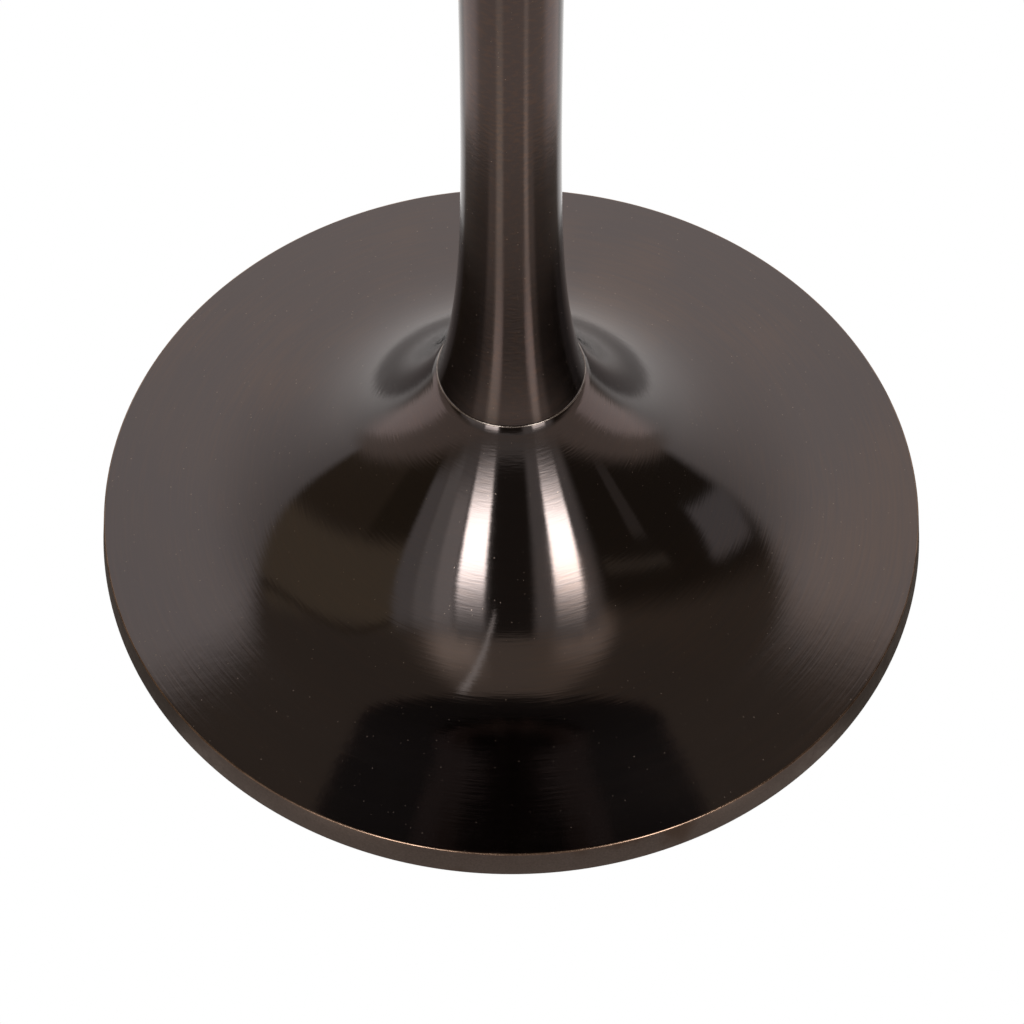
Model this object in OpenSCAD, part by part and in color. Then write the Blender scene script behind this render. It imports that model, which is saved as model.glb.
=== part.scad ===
// Round pedestal table: a cast trumpet foot, a waisted column and a cast flange,
// drawn together by one long tie rod, under a round metal-faced top.
// Millimetres, +Z up, origin on the floor on the table's axis.

/* [Table] */
// Height from the floor to the top's upper face
table_h = 750; // [600:5:1100]
// Diameter of the round top
top_d = 440; // [360:5:800]
// Diameter of the foot at the lower edge of its rim
base_d = 460; // [400:5:600]

/* [Foot casting] */
// Gap between the rim and the floor
rim_gap = 3; // [2.5:0.1:5]
// Height of the rim's band
rim_h = 17.7; // [16:0.1:30]
// How far the band leans in from its lower edge to its upper edge
rim_draft = 2.4; // [0:0.1:6]
// Bevel along the rim's upper edge
rim_bevel = 0.8; // [0.3:0.1:2]
// Radial width of the solid ring behind the rim
rim_ring_w = 24; // [22:1:40]
// Rise of the trumpet from the rim to the seam
foot_rise = 110; // [80:1:160]
// Angle of the foot's face at the rim
foot_edge_angle = 4.5; // [0:0.5:8]
// Angle of the foot's face at the neck
foot_neck_angle = 63; // [50:1:70]
// Share of the way in from the rim at which the face bends upwards
foot_bend = 0.3; // [0.15:0.01:0.5]
// Wall of the castings
cast_wall = 6; // [4:0.5:9]
// Thickness of the solid web that the tie rod clamps
web_t = 15; // [10:1:25]
// Number of ribs under the foot
foot_ribs = 8; // [4:4:12]
// Thickness of each rib
rib_t = 5; // [3:0.5:8]

/* [Column] */
// Outer radius of the column at either end
column_end_r = 38.5; // [32:0.5:50]
// Outer radius that the column's flares fade to
column_waist_r = 22.8; // [18:0.1:30]
// Length over which a flare fades by a factor of e
flare_length = 58; // [40:1:70]
// Wall of the column tube
column_wall = 3; // [2.5:0.1:4]
// Step from the column's end out to the casting's neck
seam_step = 0.8; // [0.2:0.1:1.5]
// Height of each spigot that centres the column
spigot_h = 5.8; // [4:0.1:8]
// Radial clearance of the column on a spigot
spigot_gap = 0.1; // [0.05:0.05:0.3]
// Depth that the column's end is bored out, measured as its least wall there
register_wall = 2; // [1.8:0.1:2.5]

/* [Top flange] */
// Outer radius of the flange under the top
flange_r = 110; // [100:1:160]
// Height of the flange
flange_h = 54; // [48:1:80]
// Thickness of the flange's edge
flange_edge_t = 5; // [4:0.5:8]
// Angle of the flange's face at its edge
flange_edge_angle = 2; // [0:0.5:6]
// Angle of the flange's face at the neck
flange_neck_angle = 60; // [50:1:66]
// Share of the way in from the edge at which the flange's face bends
flange_bend = 0.25; // [0.2:0.01:0.4]
// Distance of the screws from the flange's edge
flange_screw_in = 16; // [11:1:20]
// Number of screws
flange_screws_n = 6; // [4:2:8]

/* [Table top] */
// Depth of the top's edge
top_t = 22; // [20:1:32]
// Thickness of the formed metal skin
skin_t = 1.5; // [1:0.1:2.5]
// Width of the hem turned in under the edge
hem_w = 10; // [6:1:20]
// Bevel along the top's edge
top_bevel = 0.8; // [0.3:0.1:1.2]
// Thickness of the black sheet on the core's underside
sheet_t = 0.8; // [0.5:0.1:0.8]
// Glue gap round the core
core_gap = 0.2; // [0.1:0.1:0.5]

/* [Ballast] */
// Inner radius of the ballast ring
ballast_in_r = 50; // [44:1:56]
// Outer radius of the ballast's low disc
ballast_out_r = 150; // [120:1:165]
// Thickness of the low disc
ballast_disc_t = 8; // [6:1:10]
// Radius of the ballast's raised hub
ballast_hub_r = 88; // [84:1:96]
// Height of the hub above the disc
ballast_hub_h = 22; // [12:1:28]
// Radius of the circle of ballast screws
ballast_screw_r = 70; // [66:1:74]
// Number of ballast screws
ballast_screws_n = 4; // [3:1:6]

/* [Tie rod] */
// Radius of the rod over its thread
rod_r = 6; // [5:0.5:8]
// Pitch of the rod's thread
rod_pitch = 1.75; // [1.25:0.25:2]
// Number of thread ridges at each end
rod_ridges = 16; // [8:1:18]
// Nut size across its flats
nut_af = 19; // [17:1:24]
// Nut height
nut_h = 10; // [8:0.5:12]

/* [Glides] */
// Outer radius of a glide's pad
pad_r = 8; // [7:0.5:9]
// Height of a pad
pad_h = 5; // [4.5:0.1:6]
// Radius of a glide's stud over its thread
stud_r = 3; // [2.5:0.5:4]
// Pitch of the stud's thread
stud_pitch = 1; // [0.8:0.1:1.25]
// Height of the stud's end above the floor
stud_top = 15; // [14:0.1:15.5]
// How far a glide can be screwed in from where it stands
glide_in = 2; // [1:0.1:2.2]

/* [Hidden] */

// Colours
metal = [0.30, 0.28, 0.27];
bright = [0.62, 0.62, 0.63];
iron = [0.22, 0.22, 0.23];
black = [0.08, 0.08, 0.09];
board = [0.62, 0.48, 0.34];
nylon = [0.12, 0.12, 0.12];
brass = [0.72, 0.58, 0.30];

// Roundness and small working clearances
ROUND = 96;
FINE = 48;
STEPS = 56;         // points along each trumpet curve
BEND_WIDTH = 0.05;  // softness of the bend in a trumpet's face, as a share of its width
EPS = 0.01;         // overshoot of a cut past a face
THREAD_GAP = 0.05;  // radial gap between a thread's crest and its hole

// Foot
rim_r = base_d / 2;
rim_top_r = rim_r - rim_draft;
rim_top_z = rim_gap + rim_h;
rim_inner_r = rim_r - rim_ring_w;
neck_r = column_end_r + seam_step;
seam_z = rim_top_z + foot_rise;
neck_round = min(0.6, seam_step);

// Top
top_r = top_d / 2;
top_z0 = table_h - top_t;
sheet_z0 = top_z0 + skin_t - sheet_t;
core_z0 = top_z0 + skin_t;
core_r = top_r - skin_t - core_gap;
skin_bend = 2.5;

// Flange and column
flange_top_z = sheet_z0;
column_top_z = flange_top_z - flange_h;
column_h = column_top_z - seam_z;
flange_screw_r = flange_r - flange_screw_in;
spigot_r = register_outer(spigot_h) - register_wall - spigot_gap;
register_r = spigot_r + spigot_gap;
register_h = spigot_h + 0.4;

// Tie rod, with a washer, a spring washer and a nut beyond each clamped web
rod_hole_r = rod_r + 0.5;
washer_r = 12;
washer_t = 2.5;
spring_washer_r = 10.5;
spring_washer_t = 3;
rod_proud = 6;
stack_h = washer_t + spring_washer_t + nut_h + rod_proud;
lower_web_z = seam_z - web_t;
upper_web_z = column_top_z + web_t;
thread_depth = 0.9;

// Key pins
key_r = 1.5;
key_len = 10;
key_out = 4;

// Ballast
ballast_z0 = rim_gap + 3;
ballast_hub_z = ballast_z0 + ballast_disc_t + ballast_hub_h;
m8_r = 4;
m8_hole_r = 4.5;
m8_head_r = 6.5;
m8_head_h = 8;
m8_washer_r = 8;
m8_washer_t = 1.6;
m8_seat_z = ballast_z0 + m8_head_h + m8_washer_t + 1;
m8_len = ballast_hub_z - m8_seat_z + 18;
boss_r = 9;
boss_hole_h = 22;

// Flange screws
m6_r = 3;
m6_hole_r = 3.3;
m6_head_r = 5.25;
m6_head_h = 3.3;
m6_washer_r = 6.25;
m6_washer_t = 1.6;
m6_len = 16;
spot_face_r = 7.5;
seat_z = flange_top_z - flange_edge_t;
insert_r = 5;
insert_h = 13;

// Glides, in the order front right, rear right, rear left, front left
GLIDE_ANGLES = [-45, 45, 135, 225];
glide_r = rim_r - rim_ring_w / 2;
glide_pocket_r = pad_r + 1;
glide_pocket_z = pad_h + glide_in + 0.5;
stud_hole_z = stud_top + glide_in + 0.3;
head_r = 5;
head_t = 2;
head_z = 1.5;
head_gap = 0.1;
key_hole_r = 2.6;
socket_r = 1.73;
socket_depth = 1.3;

// A trumpet's face is given by its angle. Going in from the rim the angle stays near edge_angle,
// bends round a share bend of the way in, and then grows evenly up to neck_angle.
function bent(t, bend) = (t - bend + sqrt(pow(t - bend, 2) + pow(BEND_WIDTH, 2))) / 2;
function bend_share(t, bend) = (bent(t, bend) - bent(0, bend)) / (bent(1, bend) - bent(0, bend));
function face_angle(t, edge_angle, neck_angle, bend) =
    edge_angle + (neck_angle - edge_angle) * bend_share(t, bend);

// Heights of n + 1 even steps of the face, summed from its slope at the middle of each step.
function face_heights(n, edge_angle, neck_angle, bend) = [
    for (
        i = 0, z = 0;
        i <= n;
        z = z + tan(face_angle((i + 0.5) / n, edge_angle, neck_angle, bend)) / n, i = i + 1
    ) z
];

// Points [r, height] of a trumpet's face, which rises by rise from out_r in to in_r, moved in by
// depth along its normal.
function trumpet(out_r, in_r, rise, edge_angle, neck_angle, bend, depth = 0) =
    let (
        n = STEPS,
        run = out_r - in_r,
        zs = face_heights(n, edge_angle, neck_angle, bend),
        k = rise / zs[n]
    )
    [
        for (i = [0:n])
            let (a = atan(k / run * tan(face_angle(i / n, edge_angle, neck_angle, bend))))
            [out_r - run * i / n - depth * sin(a), k * zs[i] - depth * cos(a)]
    ];

// The column's outer radius at a height above its lower end: two flares that fade to the waist.
function flare(h) = (column_end_r - column_waist_r) * exp(-h / flare_length);
function register_outer(h) = column_waist_r + flare(h);
function column_r(h) = min(column_end_r, column_waist_r + flare(h) + flare(column_h - h));

function moved(points, dz) = [for (p = points) [p[0], p[1] + dz]];
function flipped(points, z) = [for (p = points) [p[0], z - p[1]]];
function backwards(points) = [for (i = [len(points) - 1:-1:0]) points[i]];

module lathe(points, fn = ROUND) {
    rotate_extrude($fn = fn) polygon(points);
}

module ring(outer, inner, h) {
    difference() {
        cylinder(r = outer, h = h, $fn = FINE);
        translate([0, 0, -EPS]) cylinder(r = inner, h = h + 2 * EPS, $fn = FINE);
    }
}

// Copies round the axis at radius r, the first at angle start.
module around(n, r, start = 0) {
    for (i = [0:n - 1]) rotate([0, 0, start + i * 360 / n]) translate([r, 0, 0]) children();
}

// Outline points of a threaded length, drawn as ridges, from z0 up.
function ridges_from(z0, count, pitch, r, depth) = [
    for (i = [0:count - 1], k = [0, 1]) [r - depth * k, z0 + (i + 0.25 + 0.5 * k) * pitch]
];

// ---- Foot ----

function foot_trumpet(depth) = trumpet(
    rim_top_r - rim_bevel, neck_r, foot_rise, foot_edge_angle, foot_neck_angle, foot_bend, depth
);
foot_face = foot_trumpet(0);
foot_inside = foot_trumpet(cast_wall);

// The solid under the foot's outer face, with the spigot on its neck.
module foot_solid() {
    lathe(concat(
        [
            [0, rim_gap],
            [rim_r, rim_gap],
            [rim_top_r, rim_top_z - rim_bevel]
        ],
        moved([for (i = [0:STEPS - 1]) foot_face[i]], rim_top_z),
        [
            [neck_r + 0.2, seam_z - neck_round],
            [neck_r - 0.2, seam_z - 0.1],
            [neck_r - neck_round, seam_z],
            [spigot_r, seam_z],
            [spigot_r, seam_z + spigot_h - 0.8],
            [spigot_r - 0.8, seam_z + spigot_h],
            [0, seam_z + spigot_h]
        ]
    ));
}

// The hollow under the foot, below the web and inside the rim's ring.
module foot_hollow() {
    inside = moved([for (p = foot_inside) if (p[0] < rim_inner_r) p], rim_top_z);
    below_web = [for (p = inside) if (p[1] < lower_web_z) p];
    lathe(concat(
        [
            [0, rim_gap - 1],
            [rim_inner_r, rim_gap - 1],
            [rim_inner_r, inside[0][1]]
        ],
        below_web,
        [
            [below_web[len(below_web) - 1][0], lower_web_z],
            [0, lower_web_z]
        ]
    ));
}

// Ribs and screw bosses, left standing when the hollow is cut.
module foot_stiffening() {
    around(foot_ribs, 0, 180 / foot_ribs)
        translate([ballast_out_r + 2, -rib_t / 2, rim_gap + 2])
            cube([rim_inner_r - ballast_out_r, rib_t, rim_h + foot_rise]);
    around(ballast_screws_n, ballast_screw_r)
        translate([0, 0, ballast_hub_z]) cylinder(r = boss_r, h = foot_rise, $fn = FINE);
}

module glide_hole() {
    translate([0, 0, rim_gap - 1])
        cylinder(r = glide_pocket_r, h = glide_pocket_z - rim_gap + 1, $fn = FINE);
    translate([0, 0, rim_gap - 1])
        cylinder(r = stud_r + THREAD_GAP, h = stud_hole_z - rim_gap + 1, $fn = FINE);
}

module key_hole(z0, h) {
    translate([register_r, 0, z0]) cylinder(r = key_r, h = h, $fn = FINE);
}

module base_casting() {
    color(metal) difference() {
        foot_solid();
        difference() {
            foot_hollow();
            foot_stiffening();
        }
        translate([0, 0, lower_web_z - 1])
            cylinder(r = rod_hole_r, h = web_t + spigot_h + 2, $fn = FINE);
        around(ballast_screws_n, ballast_screw_r)
            translate([0, 0, ballast_hub_z - 1])
                cylinder(r = m8_r + THREAD_GAP, h = boss_hole_h + 1, $fn = FINE);
        for (i = [0:len(GLIDE_ANGLES) - 1]) at_glide(i) glide_hole();
        key_hole(seam_z - key_len + key_out, key_len + spigot_h);
    }
}

// ---- Ballast ----

module ballast_ring() {
    chamfer = 1.5;
    disc_z = ballast_z0 + ballast_disc_t;
    color(iron) difference() {
        lathe([
            [ballast_in_r, ballast_z0],
            [ballast_out_r - chamfer, ballast_z0],
            [ballast_out_r, ballast_z0 + chamfer],
            [ballast_out_r, disc_z - chamfer],
            [ballast_out_r - chamfer, disc_z],
            [ballast_hub_r + 4, disc_z],
            [ballast_hub_r, disc_z + 4],
            [ballast_hub_r, ballast_hub_z],
            [ballast_in_r, ballast_hub_z]
        ]);
        around(ballast_screws_n, ballast_screw_r) {
            translate([0, 0, ballast_z0 - 1])
                cylinder(r = m8_hole_r, h = ballast_hub_z, $fn = FINE);
            translate([0, 0, ballast_z0 - 1])
                cylinder(r = m8_washer_r + 1, h = m8_seat_z - ballast_z0 + 1, $fn = FINE);
        }
    }
}

// A screw pointing up from z = 0, with its socket head below.
module cap_screw(r, len, head_r, head_h, socket, round_head) {
    difference() {
        lathe(concat(
            [[0, -head_h]],
            round_head
                ? [[head_r * 0.55, -head_h], [head_r * 0.86, -head_h * 0.72], [head_r, -head_h * 0.25]]
                : [[head_r - 0.6, -head_h], [head_r, -head_h + 0.6]],
            [[head_r, 0], [r, 0], [r, len - 0.8], [r - 0.8, len], [0, len]]
        ), FINE);
        translate([0, 0, -head_h - EPS]) cylinder(r = socket, h = head_h * 0.6, $fn = 6);
    }
}

module ballast_screws() {
    color(black) around(ballast_screws_n, ballast_screw_r)
        translate([0, 0, m8_seat_z - m8_washer_t])
            cap_screw(m8_r, m8_len, m8_head_r, m8_head_h, 3.46, false);
}

module ballast_washers() {
    color(bright) around(ballast_screws_n, ballast_screw_r)
        translate([0, 0, m8_seat_z - m8_washer_t])
            ring(m8_washer_r, m8_hole_r - 0.3, m8_washer_t);
}

// ---- Column ----

module column_tube() {
    n = 2 * STEPS;
    // heights bunched towards both ends, where the flares are
    hs = [for (i = [0:n]) column_h * (0.5 - 0.5 * cos(180 * i / n))];
    outer = [for (h = hs) [column_r(h), seam_z + h]];
    inner = [
        for (h = hs) if (h > register_h && h < column_h - register_h)
            [min(register_r, column_r(h) - column_wall), seam_z + h]
    ];
    color(metal) difference() {
        lathe(concat(
            outer,
            [
                [register_r, column_top_z],
                [register_r, column_top_z - register_h]
            ],
            backwards(inner),
            [
                [register_r, seam_z + register_h],
                [register_r, seam_z]
            ]
        ));
        key_hole(seam_z - 1, key_out + 1.2);
        key_hole(column_top_z - key_out - 0.2, key_out + 1.2);
    }
}

module key_pin(z0) {
    translate([register_r, 0, z0]) cylinder(r = key_r - 0.02, h = key_len - 0.2, $fn = FINE);
}

module lower_key_pin() {
    color(bright) key_pin(seam_z - key_len + key_out + 0.1);
}

module upper_key_pin() {
    color(bright) key_pin(column_top_z - key_out + 0.1);
}

// ---- Tie rod and its nuts ----

module tie_rod() {
    z0 = lower_web_z - stack_h;
    z1 = upper_web_z + stack_h;
    end = 1;
    low = ridges_from(z0 + end, rod_ridges, rod_pitch, rod_r, thread_depth);
    high_z = z1 - end - rod_ridges * rod_pitch;
    high = ridges_from(high_z, rod_ridges, rod_pitch, rod_r, thread_depth);
    color(bright) lathe(concat(
        [[0, z0], [rod_r - thread_depth, z0]],
        low,
        [
            [rod_r - thread_depth, z0 + end + rod_ridges * rod_pitch],
            [rod_r - thread_depth, high_z]
        ],
        high,
        [[rod_r - thread_depth, z1], [0, z1]]
    ), FINE);
}

// A hexagon nut with its corners turned off, standing on z = 0.
module nut(af, hole_r, h) {
    across_corners = af / cos(30) / 2;
    color(bright) difference() {
        intersection() {
            cylinder(r = across_corners, h = h, $fn = 6);
            lathe([
                [0, 0],
                [af / 2, 0],
                [across_corners + 0.2, (across_corners - af / 2 + 0.2) / 1.7],
                [across_corners + 0.2, h - (across_corners - af / 2 + 0.2) / 1.7],
                [af / 2, h],
                [0, h]
            ], FINE);
        }
        translate([0, 0, -EPS]) cylinder(r = hole_r, h = h + 2 * EPS, $fn = FINE);
    }
}

// A spring washer: a square ring with a slanted cut, pressed flat.
module spring_washer() {
    color(iron) difference() {
        ring(spring_washer_r, rod_hole_r, spring_washer_t);
        translate([rod_hole_r - 2, -0.6, -1])
            rotate([20, 0, 0]) cube([spring_washer_r, 1.2, spring_washer_t + 3]);
    }
}

module lower_washer() {
    color(bright) translate([0, 0, lower_web_z - washer_t]) ring(washer_r, rod_hole_r, washer_t);
}

module lower_spring_washer() {
    translate([0, 0, lower_web_z - washer_t - spring_washer_t]) spring_washer();
}

module lower_nut() {
    translate([0, 0, lower_web_z - washer_t - spring_washer_t - nut_h])
        nut(nut_af, rod_r + THREAD_GAP, nut_h);
}

module upper_washer() {
    color(bright) translate([0, 0, upper_web_z]) ring(washer_r, rod_hole_r, washer_t);
}

module upper_spring_washer() {
    translate([0, 0, upper_web_z + washer_t]) spring_washer();
}

module upper_nut() {
    translate([0, 0, upper_web_z + washer_t + spring_washer_t])
        nut(nut_af, rod_r + THREAD_GAP, nut_h);
}

// ---- Top flange ----

flange_rise = flange_h - flange_edge_t;
function flange_trumpet(depth) = trumpet(
    flange_r, neck_r, flange_rise, flange_edge_angle, flange_neck_angle, flange_bend, depth
);
flange_face = flange_trumpet(0);
flange_inside = flange_trumpet(cast_wall);

module flange_solid() {
    lathe(concat(
        [
            [0, flange_top_z],
            [flange_r, flange_top_z],
            [flange_r, seat_z + 0.6]
        ],
        flipped([for (i = [0:STEPS - 1]) flange_face[i]], seat_z),
        [
            [neck_r + 0.2, column_top_z + neck_round],
            [neck_r - 0.2, column_top_z + 0.1],
            [neck_r - neck_round, column_top_z],
            [spigot_r, column_top_z],
            [spigot_r, column_top_z - spigot_h + 0.8],
            [spigot_r - 0.8, column_top_z - spigot_h],
            [0, column_top_z - spigot_h]
        ]
    ));
}

module flange_hollow() {
    // the hollow keeps clear of the top's face by the thickness of the flange's edge
    inside = flipped([for (p = flange_inside) if (p[1] > 0.5) p], seat_z);
    above_web = [for (p = inside) if (p[1] > upper_web_z) p];
    lathe(concat(
        [[0, flange_top_z + 1], [inside[0][0], flange_top_z + 1]],
        above_web,
        [
            [above_web[len(above_web) - 1][0], upper_web_z],
            [0, upper_web_z]
        ]
    ));
}

module top_flange() {
    color(metal) difference() {
        flange_solid();
        flange_hollow();
        translate([0, 0, column_top_z - spigot_h - 1])
            cylinder(r = rod_hole_r, h = web_t + spigot_h + 2, $fn = FINE);
        around(flange_screws_n, flange_screw_r) {
            translate([0, 0, seat_z - 10]) cylinder(r = m6_hole_r, h = flange_edge_t + 12, $fn = FINE);
            translate([0, 0, seat_z - 10]) cylinder(r = spot_face_r, h = 10, $fn = FINE);
        }
        key_hole(column_top_z - spigot_h - 1, spigot_h + 1 + key_len - key_out);
    }
}

module flange_screws() {
    color(black) around(flange_screws_n, flange_screw_r)
        translate([0, 0, seat_z - m6_washer_t])
            cap_screw(m6_r, m6_len, m6_head_r, m6_head_h, 2.3, true);
}

module flange_washers() {
    color(bright) around(flange_screws_n, flange_screw_r)
        translate([0, 0, seat_z - m6_washer_t])
            ring(m6_washer_r, m6_hole_r, m6_washer_t);
}

module threaded_inserts() {
    color(brass) around(flange_screws_n, flange_screw_r)
        translate([0, 0, core_z0]) difference() {
            lathe(concat(
                [[0, 0], [insert_r - 0.1, 0]],
                ridges_from(0.5, 6, 2, insert_r - 0.1, 0.8),
                [[insert_r - 0.9, insert_h - 0.2], [0, insert_h - 0.2]]
            ), FINE);
            translate([0, 0, -1]) cylinder(r = m6_r + THREAD_GAP, h = insert_h + 2, $fn = FINE);
        }
}

// ---- Table top ----

module top_core() {
    edge = 1.5;
    color(board) difference() {
        lathe([
            [0, core_z0],
            [core_r, core_z0],
            [core_r, table_h - skin_t - edge],
            [core_r - edge, table_h - skin_t],
            [0, table_h - skin_t]
        ]);
        around(flange_screws_n, flange_screw_r)
            translate([0, 0, core_z0 - 1]) cylinder(r = insert_r, h = insert_h + 1, $fn = FINE);
    }
}

module underside_sheet() {
    color(black) difference() {
        translate([0, 0, sheet_z0])
            cylinder(r = top_r - hem_w - core_gap, h = sheet_t, $fn = ROUND);
        around(flange_screws_n, flange_screw_r)
            translate([0, 0, sheet_z0 - 1]) cylinder(r = m6_hole_r + 0.2, h = sheet_t + 2, $fn = FINE);
    }
}

// The formed skin: a disc, a straight edge and a hem turned in below.
module top_skin() {
    color(metal) lathe([
        [0, table_h],
        [0, table_h - skin_t],
        [top_r - skin_t - 1.2, table_h - skin_t],
        [top_r - skin_t, table_h - skin_t - 1.2],
        [top_r - skin_t, top_z0 + skin_t],
        [top_r - hem_w, top_z0 + skin_t],
        [top_r - hem_w, top_z0],
        [top_r - skin_bend, top_z0],
        [top_r - skin_bend * 0.3, top_z0 + skin_bend * 0.3],
        [top_r, top_z0 + skin_bend],
        [top_r, table_h - top_bevel],
        [top_r - top_bevel, table_h]
    ], 2 * ROUND);
}

// ---- Glides ----

module at_glide(i) {
    rotate([0, 0, GLIDE_ANGLES[i]]) translate([glide_r, 0, 0]) children();
}

module pad(i) {
    color(nylon) at_glide(i) difference() {
        lathe([
            [0, 0],
            [pad_r - 1, 0],
            [pad_r, 1],
            [pad_r, pad_h - 0.6],
            [pad_r - 0.6, pad_h],
            [0, pad_h]
        ], FINE);
        translate([0, 0, -1]) cylinder(r = key_hole_r, h = pad_h, $fn = FINE);
        translate([0, 0, head_z - head_gap])
            cylinder(r = head_r + head_gap, h = head_t + 2 * head_gap, $fn = FINE);
        cylinder(r = stud_r + head_gap, h = pad_h + 1, $fn = FINE);
    }
}

module stud(i) {
    shank_z = head_z + head_t;
    count = floor((stud_top - pad_h - 1) / stud_pitch);
    color(bright) at_glide(i) difference() {
        lathe(concat(
            [[0, head_z], [head_r, head_z], [head_r, shank_z], [stud_r, shank_z], [stud_r, pad_h + 0.2]],
            ridges_from(pad_h + 0.5, count, stud_pitch, stud_r, 0.5),
            [[stud_r - 0.5, stud_top], [0, stud_top]]
        ), FINE);
        translate([0, 0, head_z - EPS]) cylinder(r = socket_r, h = socket_depth, $fn = 6);
    }
}

base_casting();
ballast_ring();
ballast_screws();
ballast_washers();
column_tube();
lower_key_pin();
upper_key_pin();
tie_rod();
lower_washer();
lower_spring_washer();
lower_nut();
upper_washer();
upper_spring_washer();
upper_nut();
top_flange();
flange_screws();
flange_washers();
threaded_inserts();
top_core();
underside_sheet();
top_skin();
pad(0);  // front_right_pad
stud(0);  // front_right_stud
pad(1);  // rear_right_pad
stud(1);  // rear_right_stud
pad(2);  // rear_left_pad
stud(2);  // rear_left_stud
pad(3);  // front_left_pad
stud(3);  // front_left_stud
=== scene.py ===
import math

import bpy
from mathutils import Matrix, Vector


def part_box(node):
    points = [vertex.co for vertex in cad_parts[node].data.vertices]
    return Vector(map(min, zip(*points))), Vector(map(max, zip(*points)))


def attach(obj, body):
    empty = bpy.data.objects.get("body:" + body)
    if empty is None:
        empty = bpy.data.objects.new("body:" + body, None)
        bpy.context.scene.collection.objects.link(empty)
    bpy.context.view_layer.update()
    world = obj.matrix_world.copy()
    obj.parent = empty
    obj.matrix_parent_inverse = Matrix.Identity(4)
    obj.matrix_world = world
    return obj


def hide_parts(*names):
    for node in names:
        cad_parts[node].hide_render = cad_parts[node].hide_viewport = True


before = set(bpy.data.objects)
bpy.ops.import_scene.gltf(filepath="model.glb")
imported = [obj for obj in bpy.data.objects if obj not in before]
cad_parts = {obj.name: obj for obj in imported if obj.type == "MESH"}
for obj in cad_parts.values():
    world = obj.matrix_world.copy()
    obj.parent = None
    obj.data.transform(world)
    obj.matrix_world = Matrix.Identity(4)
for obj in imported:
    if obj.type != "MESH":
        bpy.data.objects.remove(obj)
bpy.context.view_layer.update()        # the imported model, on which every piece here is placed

# A round pedestal table: a plated trumpet foot and a waisted column under a round top.
# Metres, +Z up, the origin on the floor on the table's axis, the front towards -Y.

TAU = 2 * math.pi

# ---- Sizes: places come from the CAD pieces, and small details are given here ----

foot_low, foot_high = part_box("base_casting")
column_low, column_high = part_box("column_tube")
flange_low, flange_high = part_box("top_flange")
skin_low, skin_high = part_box("top_skin")
ballast_low, ballast_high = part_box("ballast_ring")

RIM_R = foot_high.x
RIM_GAP = foot_low.z
RIM_H = 0.0177
RIM_DRAFT = 0.0024
RIM_BEVEL = 0.0008
RIM_RING_W = 0.024
RIM_FOOT_ROUND = 0.0012
RIM_FACE_TURN = 75      # degrees: the edge's rounding runs from the face's turn to the band's
RIM_BAND_TURN = 8
FOOT_EDGE_ANGLE = math.radians(4.5)
FOOT_NECK_ANGLE = math.radians(63)
FOOT_BEND = 0.3
BEND_WIDTH = 0.05
CAST_WALL = 0.006
WEB_T = 0.015
RIBS = 8
RIB_T = 0.005
RIB_LAP = 0.002
BOSS_R = 0.009
BOSS_HOLE_R = 0.00405
BOSS_HOLE_H = 0.022
BALLAST_SCREWS = 4
BALLAST_SCREW_R = 0.070
GLIDES = 4
GLIDE_POCKET_R = 0.009
GLIDE_POCKET_Z = 0.0075
STUD_HOLE_R = 0.00305
STUD_HOLE_Z = 0.0173
KEY_R = 0.0015
KEY_IN = 0.006

COLUMN_END_R = column_high.x
COLUMN_WAIST_R = 0.0228
FLARE_LENGTH = 0.058
COLUMN_WALL = 0.003
SEAM_Z = column_low.z
COLUMN_TOP_Z = column_high.z
SEAM_STEP = 0.0008
SPIGOT_H = foot_high.z - SEAM_Z
SPIGOT_R = 0.0343
SPIGOT_BEVEL = 0.0008
ROD_HOLE_R = 0.0065

FLANGE_R = flange_high.x
FLANGE_EDGE_T = 0.005
FLANGE_EDGE_ANGLE = math.radians(2)
FLANGE_NECK_ANGLE = math.radians(60)
FLANGE_BEND = 0.25
FLANGE_SCREWS = 6
FLANGE_SCREW_IN = 0.016
FLANGE_HOLE_R = 0.0033
SPOT_FACE_R = 0.0075
SPOT_DEPTH = 0.01
FLANGE_MOUTH = 0.0005   # nearer the seat than this, the hollow runs out through the top

TOP_R = skin_high.x
TOP_Z = skin_high.z
TOP_UNDER_Z = skin_low.z
SKIN_T = 0.0015
SKIN_BEVEL = 0.0008
SKIN_BEND = 0.0025
SKIN_INNER_BEVEL = 0.0012
HEM_W = 0.010

NECK_R = COLUMN_END_R + SEAM_STEP
RIM_TOP_Z = RIM_GAP + RIM_H
RIM_TOP_R = RIM_R - RIM_DRAFT
FLANGE_TOP_Z = flange_high.z
FLANGE_SEAT_Z = FLANGE_TOP_Z - FLANGE_EDGE_T

NECK_ROUND = 0.0006
COLUMN_SEGMENTS = 192
SEGMENTS = 288
HOLE_SIDES = 48
FOOT_STEPS = 150
FLANGE_STEPS = 90
COLUMN_STEPS = 120

OVERSHOOT = 0.001       # how far a cutting tool runs past the face that it opens
HAIR = 0.0001           # keeps two faces from lying on each other
BAND_MARGIN = 0.0004    # how far a finish reaches past its edge
COLLAR_MARGIN = 0.0002
CAST_MARGIN = 0.0005
DOWN_LIMIT = 0.05       # a face whose normal rises less than this counts as facing down
MERGE_DISTANCE = 1e-6
WELD_DISTANCE = 2e-5


# ---- Node trees: values and links go in, wrapped sockets come out ----

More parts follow.
